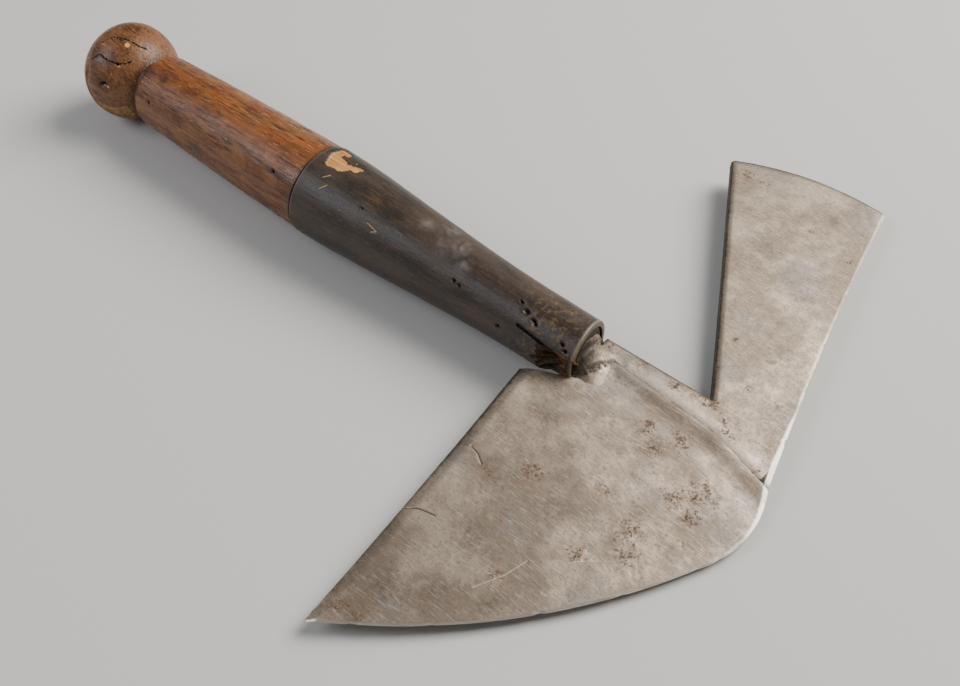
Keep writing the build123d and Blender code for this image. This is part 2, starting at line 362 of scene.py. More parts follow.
# %% [markdown]
# ## The forged plates
# The wing with its tang, and the main plate, are sheet with curved outlines. One way is to draw
# the outline again and fill it; but the CAD already has the exact shape. So a copy of its mesh is
# merged into one skin, its upper rim gets a small bevel, and it is sliced by planes both ways. The
# slices give an even net of small faces that the relief can press into, as a hammer would.

# %% Slice a copy of a CAD plate into a fine net
net_step = 0.85
rim_bevel = 0.55
mark_reach = 1.6


def slice_net(bm, low, high, step):
    """Cut the mesh by evenly spaced planes across u and then across v."""
    for axis in (0, 1):
        normal = Vector((0, 0, 0))
        normal[axis] = 1
        for cut in np.arange(low[axis] + step / 2, high[axis], step):
            everything = bm.verts[:] + bm.edges[:] + bm.faces[:]
            bmesh.ops.bisect_plane(bm, geom=everything, dist=0.002, plane_co=normal * cut, plane_no=normal)


def refine(bm, paths, reach, times=2):
    """Halve the edges near thin marks, so that each mark has enough points to show sharply."""
    for halving in range(times):
        places = coordinates(bm)
        if len(paths[0][0]) == 2:
            places = places[:, :2]
        near = distances(places, np.vstack(paths)) < reach / (halving + 1)
        close = {vert for vert, is_near in zip(bm.verts, near) if is_near}
        edges = [edge for edge in bm.edges if close.issuperset(edge.verts)]
        bmesh.ops.subdivide_edges(bm, edges=edges, cuts=1, use_grid_fill=True)


def plate_copy(node, rim_path):
    """The CAD plate as one skin in the blade's frame, its upper rim bevelled along rim_path."""
    bm = bmesh.new()
    bm.from_mesh(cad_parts[node].data)
    bmesh.ops.transform(bm, matrix=blade_to_row.inverted(), verts=bm.verts)
    bmesh.ops.remove_doubles(bm, verts=bm.verts, dist=0.002)
    bmesh.ops.dissolve_limit(bm, angle_limit=radians(0.4), verts=bm.verts, edges=bm.edges)
    bm.normal_update()
    on_rim = distances(coordinates(bm)[:, :2], rim_path) < 0.25
    upper = {v for v, near in zip(bm.verts, on_rim) if near and v.co.z + dish(v.co.y) > -1.0}
    rim = [e for e in bm.edges if upper.issuperset(e.verts) and e.calc_face_angle(0) > 0.8]
    bmesh.ops.bevel(bm, geom=rim, offset=rim_bevel, offset_type="OFFSET", segments=2, profile=0.5,
                    affect="EDGES", material=-1, clamp_overlap=True)
    print(node, "rim edges bevelled:", len(rim))
    return bm


def marks_of(points, side):
    """The wear attributes of points on the blade; their scale also holds painted shade."""
    from_weld = distances(points, weld)
    if side == "main":
        # Scale along the rounded heel, on the hollow slope beside the weld and at the heel's corner by the
        # handle is painted shade.
        along_heel = 0.45 + 0.45 * np.clip((points[:, 1] + 110) / 80, 0, 1)
        slope = 0.36 * fade(abs(from_weld - 3.6), 5.0) * np.clip((72 - points[:, 0]) / 20, 0.3, 1)
        scale = np.maximum(along_heel * fade(distances(points, heel_line), 3.2), slope * (points[:, 0] > 0))
        corner = np.hypot(points[:, 0] - heel[0], points[:, 1] - heel[1])
        scale = np.maximum(scale, 0.62 * fade(corner, 17.0))
        worn = 0.3 * fade(abs(from_weld - 12), 5.0)
    else:
        # Scale on the wing's end bevel, round the handle's end and along the back edge is painted shade.
        end_band = 2.6 - 0.028 * (points[:, 0] - wing_inner[0])
        scale = np.maximum(1.2 * fade(distances(points, wing_end) / end_band, 1.0),
                           1.1 * fade(np.hypot(points[:, 0] + 2, points[:, 1] + 3), 18.0))
        worn = 0.9 * fade(from_weld, 8.0) * (points[:, 0] > 14)
        scale = np.maximum(scale, 0.9 * fade(distances(points, back_edge), 1.4))
    scale = np.maximum(scale, 0.6 * fade(from_weld, 0.7))
    return {
        "rust": spots(points, rust_spots),
        "scale": np.maximum(scale, 0.42 * spots(points, dark_spots)),
        "worn": worn,
        "crack": strokes(points, cracks, crack_width),
        "hairline": strokes(points, hairlines, hairline_width),
    }


bolster_lead = 15.0
bolster_half_width = 10.2


def blend_bolster(places):
    """Draw the bolster's toe and flanks down into the blade, as the hammer did."""
    u, v = places[:, 0], places[:, 1]
    ahead, across = np.clip(u / bolster_lead, 0, None), abs(v) / bolster_half_width
    from_ring = np.sqrt(ahead**1.6 + np.where(ahead > 0.1, across**4, 0))
    height = places[:, 2] + dish(v)
    corners = np.array((lobe_start, lobe_side, lobe_end))
    past_weld = (u > np.interp(v, corners[:, 1], corners[:, 0])) & (v < lobe_end[1] + 0.1)
    past_weld &= distances(places[:, :2], weld) > 0.3
    bed = np.where(past_weld, -weld_step - 0.5, 0)
    raised = (height > np.where(past_weld, -weld_step - 0.05, 0.02)) & (across < 1.1)
    raised &= (u > 0.5) & (u < bolster_lead + 2)
    kept = np.clip(1.05 - from_ring, 0, 1) ** 1.3
    places[:, 2] -= np.where(raised, (height - bed) * (1 - kept), 0)
    return places


def forge(node, side, rim_path, low, high):
    """Slice a plate, press the relief into it and finish it."""
    bm = plate_copy(node, rim_path)
    slice_net(bm, low, high, net_step)
    refine(bm, [line(*path, step=0.3) for path in cracks + hairlines], mark_reach)
    places = coordinates(bm)
    if side == "wing":
        place(bm, blend_bolster(places))
        bmesh.ops.dissolve_degenerate(bm, dist=0.05, edges=bm.edges)
        places = coordinates(bm)
    points = places[:, :2]
    level = places[:, 2] + dish(points[:, 1])
    on_face = np.clip((level + 3.0) / 2.0, 0, 1)
    on_blade = fade(np.maximum(0, low[0] - points[:, 0]), 1.0)
    places[:, 2] += on_face * on_blade * relief(points, side)
    places[:, 2] += (1 - on_face) * on_blade * (0.15 + 0.15 * grain(points, 9.0, 40.0))
    place(bm, places)
    marks = marks_of(points, side)
    marks["whetted_and_highlight"] = np.zeros(len(points))
    return finish_piece(node, bm, blade_to_row, marks)


main_plate = forge("main_blade", "main", heel_line, (-16, -134), (82, 9))
wing_plate = forge("wing_and_tang", "wing", np.vstack((wing_end, back_edge)), (-22, -16), (78, 146))

# %% [markdown]
# ## The steel edges
# Iron doesn't hold an edge, so a strip of steel is welded in along it and ground thin from below.
# A strip like this could be a curve with a bevel, but its two sides follow different lines. A flat
# grid is bent instead: its rows run along the cutting edge and its columns step inward to the
# iron, close together near the edge where the whetted bevel is. Extruding the grid gives the
# underside, and both skins then take their own heights.

# %% Steel strips
steel_width = 11.0
steel_lean = radians(22.0)
main_inward = np.array((-steel_width * cos(steel_lean), steel_width * sin(steel_lean)))
wing_inward = np.array((-8.0, 2.0))
strip_columns = 22
column_crowding = 1.7
whet_depth = 0.36
thinnest = 0.22


def inside(points, path, inner):
    """Which points lie on the same side of a gently curved path as the inner point."""
    start, end = path[0], path[-1]
    order = np.argsort(path @ (end - start))
    ahead = (end - start) / np.hypot(*(end - start))
    left = np.array((-ahead[1], ahead[0]))

    def offset(p):
        return (p - start) @ left - np.interp((p - start) @ ahead, ((path - start) @ ahead)[order],
                                              ((path - start) @ left)[order])

    return offset(points) * offset(np.array([inner])) > 0


def strip(node, side, edge, inward, borders, rows, grind, floor_step):
    """A steel strip between the cutting edge and the same line moved inward, cut by its borders."""
    bm = bmesh.new()
    bmesh.ops.create_grid(bm, x_segments=rows, y_segments=strip_columns, size=0.5)
    bmesh.ops.extrude_face_region(bm, geom=bm.faces[:])
    grid = coordinates(bm)
    upper = np.arange(len(grid)) >= len(grid) // 2
    run, depth = grid[:, 0] + 0.5, (grid[:, 1] + 0.5) ** column_crowding
    stations = np.linspace(0, 1, len(edge))
    points = np.zeros((len(grid), 2))
    for share in np.unique(depth.round(6)):
        shifted = edge + inward * share
        kept = np.ones(len(edge), bool)
        for path, inner in borders:
            kept &= inside(shifted, path, inner)
        kept = np.flatnonzero(kept)
        first, last = stations[kept[0]], stations[kept[-1]]
        column = abs(depth - share) < 1e-5
        along = first + (last - first) * run[column]
        points[column] = np.column_stack([np.interp(along, stations, shifted[:, i]) for i in (0, 1)])
    from_edge = distances(points, edge)
    worn_in = sum(size * fade(np.hypot(points[:, 0] - u, points[:, 1] - v), 2.2) for u, v, size in nicks)
    worn_in += 0.12 * abs(grain(points, 2.5, 50.0))
    points += inward / np.hypot(*inward) * (worn_in * fade(from_edge, 3.0))[:, None]
    width = bevel_width(points)
    whetted = np.clip(1 - from_edge / width, 0, 1)
    face = relief(points, side) - dish(points[:, 1]) - floor_step - whet_depth * whetted
    under = underside_rise(from_edge, grind) - plate_thickness
    under -= dish(points[:, 1], dish_radius - plate_thickness)
    under += 0.1 + 0.1 * grain(points, 7.0, 41.0)
    under = np.minimum(under, face - thinnest)
    place(bm, np.column_stack((points, np.where(upper, face, under))))
    marks = marks_of(points, side)
    # The whetted bevel is marked to be lightened: brighter ground steel, and a painted highlight along the
    # edge.
    marks["whetted_and_highlight"] = np.where(upper, np.clip(whetted * 4, 0, 1), 0.6 * fade(from_edge, grind))
    return finish_piece(node, bm, blade_to_row, marks)


middle_of_main = (30.0, -60.0)
middle_of_wing = (30.0, 80.0)
crease = np.array((crease_bend, kink)) + np.array(((-8.0, 1.94), (8.0, -1.94)))
main_strip = strip("main_edge_steel", "main", main_edge, main_inward,
                   [(crease, middle_of_main), (heel_line, middle_of_main)], 420, main_grind, weld_step)
wing_strip = strip("wing_edge_steel", "wing", wing_edge, wing_inward,
                   [(wing_end, middle_of_wing)], 330, wing_grind, 0.0)

# %% [markdown]
# ## Marks on the handle
# A place on the handle is given as a turner would: how far back from the grip's face, and how many
# degrees round from the top towards the main blade's side. Cracks follow such places; knots,
# worm holes and chips are spots.

# %% Handle outline and places on it
rim_round = 0.6
grip_rim = 12.6
seat_radius = 10.5
grip_stations = [(rim_round, grip_rim), (31.0, 12.9), (66.0, 14.7), (106.0, 17.5), (126.0, 18.2)]
rear_stations = [(126.2, 17.8), (176.0, 16.8), (218.0, 15.2)]
seam_at = 126.2
shoulder_at = 218.0
shoulder_round = 3.2
skin_step = 0.62
neck_radius = 11.4
neck_from, neck_to = 221.7, 223.7
neck_middle = 222.6


def through(stations):
    """Smooth radius along the axis through the measured stations."""
    at, radius = zip(*stations)
    return np.polynomial.Polynomial.fit(at, radius, len(stations) - 1)


grip_radius = through(grip_stations)
rear_radius = through(rear_stations)


def skin_radius(at):
    """Radius of the turned handle at this distance from the grip's face."""
    on_shoulder = shoulder_radius - shoulder_round + np.sqrt(
        np.clip(shoulder_round**2 - np.clip(at - shoulder_at, 0, shoulder_round) ** 2, 0, None))
    reach = np.where(at > ball_at, ball_depth, ball_radius)
    on_ball = ball_radius * np.sqrt(np.clip(1 - ((at - ball_at) / reach) ** 2, 0, None))
    radius = np.where(at < seam_at, grip_radius(at), rear_radius(at))
    radius = np.where(at > shoulder_at, on_shoulder, radius)
    return np.where(at > neck_from + 1, on_ball, radius)


shoulder_radius = float(rear_radius(shoulder_at))


def on_handle(at, degrees):
    """The place on the handle's skin at this station and this many degrees round."""
    radius = float(skin_radius(np.array(at)))
    turn = radians(degrees)
    return Vector((at, radius * sin(turn), radius * cos(turn)))


def trail(*places, step=0.2):
    """Closely spaced points on the skin between places given as station and degrees."""
    path = []
    for (at, degrees), (to, to_degrees) in zip(places, places[1:]):
        gap = (on_handle(at, degrees) - on_handle(to, to_degrees)).length
        for share in np.linspace(0, 1, max(2, int(gap / step))):
            path.append(on_handle(at + (to - at) * share, degrees + (to_degrees - degrees) * share))
    return path


def pits(points, marks):
    """How strongly each point is touched by round marks at (station, degrees, radius)."""
    touch = np.zeros(len(points))
    for at, degrees, radius in marks:
        gap = np.linalg.norm(points - np.array(on_handle(at, degrees)), axis=1)
        touch = np.maximum(touch, fade(gap, radius))
    return touch


print(f"shoulder radius {shoulder_radius:.2f} mm")

# %% [markdown]
# ## Turned wood
# Both wooden pieces were made on a lathe, so each is a profile spun round the axis. The profile is
# a closed line that also runs through the bore and the socket, so that the wood has a real wall.
# After the spin every point of the skin is pushed along its normal: out for fibres that stand
# proud, and in for cracks, holes and chips.

# %% Spin a profile
def turned(profile, steps):
    """Spin a profile of (station, radius) points round the handle's axis into one closed skin."""
    bm = bmesh.new()
    ring = [bm.verts.new((at, 0, radius)) for at, radius in profile]
    chain = [bm.edges.new(pair) for pair in zip(ring, ring[1:])]
    if profile[0][1] > 0:
        chain.append(bm.edges.new((ring[-1], ring[0])))
    bmesh.ops.spin(bm, geom=ring + chain, cent=(0, 0, 0), axis=(1, 0, 0), dvec=(0, 0, 0),
                   angle=2 * pi, steps=steps, use_merge=True)
    bmesh.ops.remove_doubles(bm, verts=bm.verts, dist=0.001)
    bmesh.ops.recalc_face_normals(bm, faces=bm.faces)
    return bm


def run(start, end, step):
    """Evenly spaced stations from start to end."""
    return np.linspace(start, end, max(2, int(abs(end - start) / step) + 1))


def push(bm, amount):
    """Move each vertex along its normal."""
    bm.normal_update()
    for vert, height in zip(bm.verts, amount):
        vert.co += vert.normal * height


# %% [markdown]
# ## The blackened front grip
# Soot and oil have turned this beech nearly black, and hands have rubbed it to a satin sheen. It
# narrows towards the blade. A corner of its front has split off beside the heel and shows raw
# orange wood, and near the seam a chip has come away. Worm holes run in from the front.

# %% Grip profile and damage
grip_bore = 6.0
socket_radius = 11.15
socket_from = 103.85
seat_floor = 2.4
split_from, split_to = 58.0, 158.0
split_length = 12.5
split_depth = 5.4
core_radius = 6.3

worm_holes = [
    (28.0, 76.0, 1.2), (5.2, 44.0, 1.3), (3.6, 51.0, 1.1), (20.5, 29.0, 1.6), (17.0, 36.0, 1.3),
    (16.0, 39.5, 1.0), (50.0, 48.0, 0.9), (47.5, 50.0, 0.8), (96.0, 30.0, 0.6), (24.0, 20.0, 0.9),
    (70.0, -60.0, 0.9), (38.0, -110.0, 1.0), (84.0, 150.0, 0.9),
]
chip_path = [(120.5, -26.0), (119.0, -2.0), (115.5, -3.0), (111.0, -14.0)]
chip_half_width = 3.0
flake_path = [(118.5, -19.0), (114.0, -15.0), (109.0, -21.0)]
grip_scratches = [
    [(115.5, 38.0), (113.5, 30.0)], [(117.0, 24.0), (115.0, 17.0)],
    [(91.0, 42.0), (86.0, 46.0)], [(88.0, 50.0), (86.0, 46.0)],
]
rubbed = [(61.0, 14.0, 6.0), (56.0, 0.0, 7.0), (64.0, -20.0, 6.0), (72.0, -2.0, 5.0), (50.0, 22.0, 5.0)]
split_crack = [(21.0, 55.0), (15.0, 58.0), (8.0, 63.0)]

profile = [(seat_floor, grip_bore), (seat_floor, seat_radius), (0.0, seat_radius + 0.15)]
profile += [(0.0, r) for r in run(seat_radius + 0.5, grip_rim - rim_round, 0.35)]
profile += [(rim_round * (1 - sin(t)), grip_rim - rim_round * (1 - cos(t))) for t in run(1.3, 0.2, 0.35)]
profile += [(at, float(grip_radius(at))) for at in run(rim_round, 125.6, skin_step)]
profile += [(126.0, float(grip_radius(126.0)) - 0.4), (126.0, socket_radius), (socket_from, socket_radius),
            (socket_from, grip_bore)]
grip = turned(profile, 190)
refine(grip, [trail(*path, step=0.3) for path in grip_scratches + [split_crack, chip_path]], mark_reach, 1)

points = coordinates(grip)
at, round_angle = points[:, 0], np.degrees(np.arctan2(points[:, 1], points[:, 2]))
from_axis = np.hypot(points[:, 1], points[:, 2])
outer = from_axis > socket_radius + 0.2
outer |= (at < 2.0) & (from_axis > seat_radius + 0.1)
fibres = points / np.array((14.0, 1.0, 1.0))
from_chip = distances(points, trail(*chip_path)) + 1.3 * grain(points, 2.2, 70.0)
chip = np.clip((chip_half_width - from_chip) / 0.35, 0, 1)
flake = np.clip(1.3 - distances(points, trail(*flake_path)) - 0.8 * grain(points, 1.4, 71.0), 0, 0.3) / 0.3
holes = pits(points, worm_holes)
scratch = np.max([fade(distances(points, trail(*path)), 0.5) for path in grip_scratches], axis=0)
from_split_crack = distances(points, trail(*split_crack))
amount = 0.10 * grain(points, 9.0, 5.0) + 0.05 * grain(fibres, 0.55, 2.0)
amount -= 0.14 * np.clip(grain(points, 1.6, 7.0) - 0.15, 0, 1) * fade(abs(at - 25), 45)
amount -= 0.6 * chip * (1 + 0.5 * grain(fibres, 0.8, 9.0)) - 0.5 * flake * chip
amount -= 1.5 * holes
amount -= 0.15 * scratch
amount -= 0.9 * fade(from_split_crack, 0.8)
push(grip, amount * outer)
print("grip marks:", len(worm_holes), "worm holes,", int(chip.sum()), "chipped points")

# %% [markdown]
# ### The split corner
# Wood splits along its fibres, so the missing corner ends in a ragged face that runs back along the
# grip and rises to the skin. Moving the skin inward to that face keeps the mesh closed and needs no
# boolean. The fibres at the end of the split are uneven in length, which a noise that is long
# along the axis and thin across it gives. The grip was also sawn off a little askew: its front
# reaches further forward on the main blade's side.

# %% Split the corner away
face_skew = 3.6
skew_reach = 22.0


def skewed(places):
    """Draw the main blade's side of the grip's front forward, less and less up to the skew's reach."""
    share = np.clip(0.5 + places[:, 1] / (2 * grip_rim), 0, 1)
    places[:, 0] -= face_skew * share * np.clip(1 - places[:, 0] / skew_reach, 0, 1)
    return places


places = coordinates(grip)
radius = np.hypot(places[:, 1], places[:, 2])
ragged = 3.0 * grain(fibres, 1.2, 14.0) + 1.5 * grain(fibres, 0.5, 15.0)
along_split = np.clip(1 - (at + ragged) / split_length, 0, 1)
across = (round_angle - split_from) / (split_to - split_from)
notch_shape = np.clip(np.minimum(across * 5.0, (1 - across) * 2.2), 0, 1)
depth = split_depth * notch_shape * np.clip(along_split * 2.6, 0, 1) ** 0.8
depth += 0.5 * notch_shape * (along_split > 0) * (grain(fibres, 0.45, 17.0) + 0.3)
skin = skin_radius(at)
carved = radius * (1 - depth / skin)
kept = np.where(outer, np.minimum(radius, carved), radius)
on_wall = outer & (radius <= skin) & (radius > core_radius)
kept = np.where(on_wall, np.maximum(kept, core_radius), kept)
places[:, 1:] *= (kept / radius)[:, None]
seat = (at < seat_floor + 0.1) & ~outer & (radius > seat_radius - 1)
seat_pull = np.where(seat, 1 - 3.2 * notch_shape * np.clip(along_split * 2.6, 0, 1) / seat_radius, 1)
places[:, 1:] *= seat_pull[:, None]
place(grip, skewed(places))
raw = np.clip(depth / 0.7, 0, 1) * outer * np.clip(1.25 - at / 9, 0.35, 1)
grip_marks = {
    "raw": raw,
    "chip": chip * (1 - flake),
    "hole": np.maximum(holes, fade(from_split_crack, 1.1)),
    "scratch": scratch,
    "rubbed": pits(points, rubbed) * (0.6 + grain(points, 2.0, 19.0)),
    # A pale band round the front lip: painted highlight on the edge.
    "rim": fade(abs(at - 0.5), 0.8) * outer,
    "front": fade(abs(at - 8), 28),
    # A pale band at the rear end: painted highlight on the edge.
    "end_band": fade(126 - at, 1.0) * outer,
}
grip_piece = finish_piece("front_grip", grip, handle_to_row, grip_marks)

# %% [markdown]
# ## The rear handle and its ball
# This piece has kept its red-brown oil finish. The ball, the neck groove and the rounded shoulder
# were turned in one with it. The ball has dried and cracked from its end, and a sliver has split
# away along its lower rim. A spigot on its front fits the grip's socket, out of sight.

# %% Rear handle profile and damage
spigot_radius = 11.0
spigot_from = 104.0
tang_bore = 5.6
tang_bore_end = 168.5
neck_angle = asin(neck_radius / ball_radius)

profile = [(tang_bore_end, 0.0), (tang_bore_end, tang_bore), (spigot_from, tang_bore),
           (spigot_from, spigot_radius), (seam_at, spigot_radius)]
profile += [(seam_at, r) for r in run(15.0, 17.3, 0.8)]
profile += [(at, float(rear_radius(at))) for at in run(seam_at + 0.4, shoulder_at, skin_step)]
profile += [(shoulder_at + shoulder_round * sin(t), shoulder_radius - shoulder_round * (1 - cos(t)))
            for t in run(0.15, 1.5, 0.17)]
profile += [(neck_from + 0.2, 11.9), (neck_from + 0.7, neck_radius), (neck_to - 0.4, neck_radius + 0.1)]
profile += [(ball_at - (ball_radius if t < pi / 2 else ball_depth) * cos(t), ball_radius * sin(t))
            for t in run(neck_angle + 0.02, pi - 0.02, 0.031)]
profile += [(ball_at + ball_depth, 0.0)]
rear = turned(profile, 200)

ball_cracks = [
    [(243.0, 50.0), (240.0, 40.0), (235.0, 42.0), (231.0, 39.0), (229.0, 34.0), (228.0, 27.0)],
    [(243.0, 28.0), (240.0, 14.0), (234.0, 6.0), (230.0, 2.0), (228.0, -4.0)],
    [(239.0, 14.0), (236.0, 12.0)], [(238.0, -25.0), (234.0, -27.0)],
    [(255.0, -90.0), (246.0, -110.0), (238.0, -104.0)],
]
rear_holes = [
    (235.0, 72.0, 1.7), (233.6, 70.0, 1.2), (211.0, 66.0, 1.3), (138.0, 50.0, 1.0), (231.2, 40.0, 1.0),
    (180.0, -80.0, 1.0), (160.0, 140.0, 0.9),
]
fresh_chips = [(233.0, 12.0, 1.9), (232.2, 73.0, 1.0), (230.6, 41.0, 0.8)]
knots = [(209.0, 24.0, 3.4)]
sliver_path = [(244.5, 62.0), (244.5, 88.0), (241.5, 108.0), (235.0, 114.0), (228.0, 118.0)]

refine(rear, [trail(*path, step=0.3) for path in ball_cracks], mark_reach)
points = coordinates(rear)
at, round_angle = points[:, 0], np.degrees(np.arctan2(points[:, 1], points[:, 2]))
from_axis = np.hypot(points[:, 1], points[:, 2])
outer = (from_axis > spigot_radius + 0.1) | (at > seam_at + 60)
outer &= ~((at < tang_bore_end + 1) & (from_axis < spigot_radius + 0.1))
fibres = points / np.array((16.0, 1.0, 1.0))
on_ball = at > neck_to
ragged_line = 0.3 * grain(points, 0.8, 44.0)
cracked = np.max([fade(distances(points, trail(*path)) + ragged_line, 0.34) for path in ball_cracks], axis=0)
holes = pits(points, rear_holes)
fresh = pits(points, fresh_chips)
knotted = pits(points, knots)
sliver_width = np.interp(at, (228, 245), (4.2, 1.3))
sliver = distances(points, trail(*sliver_path)) + 0.6 * grain(points, 2.0, 33.0)
sliver = np.where(on_ball & (at > 226.5), np.clip((sliver_width - sliver) / 0.6, 0, 1), 0)
grooves = np.clip(-grain(fibres, 0.42, 4.0) - 0.12, 0, 1)
amount = 0.12 * grain(points, 11.0, 6.0) + 0.05 * grain(fibres, 0.6, 2.0) - 0.22 * grooves
amount -= 0.10 * np.clip(grain(points, 1.5, 7.0) - 0.1, 0, 1)
amount -= 0.5 * cracked + 1.6 * holes + 0.25 * fresh + 1.1 * sliver
amount -= 0.2 * knotted
push(rear, amount * outer)
rear_marks = {
    "crack": np.maximum(cracked, holes),
    "raw": fresh,
    "sliver": sliver,
    "groove": grooves,
    "knot": knotted,
    # Dark round the neck groove and along the seam against the grip: painted shade.
    "neck": fade(abs(at - neck_middle), 3.4) * outer,
    "seam": fade(at - seam_at, 1.6) * outer,
    # The top of the rear handle, where the material paints orange light for the lamp's glow.
    "top": fade(abs(round_angle - 8), 62) * (at < shoulder_at + 2),
    "ball": 1.0 * on_ball,
}
rear_piece = finish_piece("rear_handle", rear, handle_to_row, rear_marks)

# %% [markdown]
# ## The washer
# A punched iron ring is let into the grip's face round the tang, to keep the wood from splitting.
# Only its outer rim shows. A small square profile with two worn corners, spun round, is enough;
# hammer dents keep the ring from looking machined.

# %% Washer
washer_outer = 10.4
washer_inner = 5.9
washer_front = 0.8
washer_back = 2.3
wear = 0.35

ring_profile = [(washer_back, washer_inner), (washer_front + wear, washer_inner)]
ring_profile += [(washer_front, r) for r in run(washer_inner + wear, washer_outer - wear, 0.5)]
ring_profile += [(washer_front + wear * 0.3, washer_outer - wear * 0.3), (washer_front + wear, washer_outer),
                 (washer_back, washer_outer)]
ring_profile += [(washer_back, r) for r in run(washer_outer - wear, washer_inner + wear, 1.0)]
washer = turned(ring_profile, 120)
points = coordinates(washer)
push(washer, 0.07 * grain(points, 2.2, 60.0))
place(washer, skewed(coordinates(washer)))
radii = np.hypot(points[:, 1], points[:, 2])
# A pale rim: painted highlight round the washer's outer edge.
washer_marks = {"rim": fade(abs(radii - washer_outer + wear), 0.9) * (points[:, 0] < 1.4)}
washer_piece = finish_piece("grip_washer", washer, handle_to_row, washer_marks)

# %% [markdown]
# ## Materials: how a finish is built
# A material is a small network: noises and attributes choose between a few colours and
# roughnesses, and the same noises lift or sink the surface a little. One function adds a node with
# its settings and links. Colours are written as the usual hex values and turned to linear light.

# %% Node and colour helpers
def hex_colour(code):
    """Linear colour of an sRGB hex value."""
    channels = [int(code[i:i + 2], 16) / 255 for i in (1, 3, 5)]
    return tuple(c / 12.92 if c <= 0.04045 else ((c + 0.055) / 1.055) ** 2.4 for c in channels) + (1.0,)


def add(tree, kind, settings=None, links=None):
    """Add a node, set its properties, then fill or link its sockets by name or number."""
    node = tree.nodes.new("ShaderNode" + kind)
    for name, value in (settings or {}).items():
        setattr(node, name, value)
    for name, value in (links or {}).items():
        if isinstance(value, bpy.types.NodeSocket):
            tree.links.new(value, node.inputs[name])
        else:
            node.inputs[name].default_value = value
    return node


def lumps(tree, where, size, detail=3.0, rough=0.55, stretch=(1, 1, 1), turn=(0, 0, 0)):
    """Noise whose lumps are about this many millimetres, longer where stretch is more."""
    scale = [1 / s for s in stretch]
    moved = add(tree, "Mapping", links={"Vector": where, "Rotation": turn, "Scale": scale})
    links = {"Vector": moved.outputs[0], "Scale": 1 / (size * mm), "Detail": detail, "Roughness": rough}
    return add(tree, "TexNoise", links=links).outputs["Fac"]


def ramp(tree, value, low, high):
    """Stretch a value so that low becomes 0 and high becomes 1."""
    return add(tree, "MapRange", {"interpolation_type": "SMOOTHSTEP"},
               {"Value": value, "From Min": low, "From Max": high}).outputs[0]


def maths(tree, operation, first, second):
    """Two values combined by one operation."""
    return add(tree, "Math", {"operation": operation, "use_clamp": operation == "MULTIPLY"},
               {0: first, 1: second}).outputs[0]


def blend_colour(tree, share, first, second):
    """Mix of two colours, each a hex code or a socket."""
    ends = [hex_colour(c) if isinstance(c, str) else c for c in (first, second)]
    return add(tree, "Mix", {"data_type": "RGBA"}, {0: share, 6: ends[0], 7: ends[1]}).outputs[2]


def tint(tree, colour, share, strength, code):
    """Lay a second colour over the first where share says, at this strength."""
    return blend_colour(tree, maths(tree, "MULTIPLY", share, strength), colour, code)


def blend_value(tree, share, first, second):
    """Mix of two plain values."""
    return add(tree, "Mix", {"data_type": "FLOAT"}, {0: share, 2: first, 3: second}).outputs[0]


def attribute(tree, name):
    """A wear attribute of the mesh."""
    return add(tree, "Attribute", {"attribute_name": name}).outputs["Fac"]


def new_material(name):
    """An empty material with its shader, its node tree and its Object coordinates."""
    material = bpy.data.materials.new(name)
    material.use_nodes = True
    tree = material.node_tree
    tree.nodes.clear()
    shader = add(tree, "BsdfPrincipled")
    add(tree, "OutputMaterial", links={"Surface": shader.outputs[0]})
    return material, tree, shader, add(tree, "TexCoord").outputs["Object"]


def dress(tree, shader, colour, roughness, height, depth):
    """Give the shader its colour, roughness and a bump of this depth in millimetres."""
    bump = add(tree, "Bump", links={"Height": height, "Distance": depth * mm, "Strength": 1.0})
    tree.links.new(colour, shader.inputs["Base Color"])
    tree.links.new(roughness, shader.inputs["Roughness"])
    tree.links.new(bump.outputs[0], shader.inputs["Normal"])
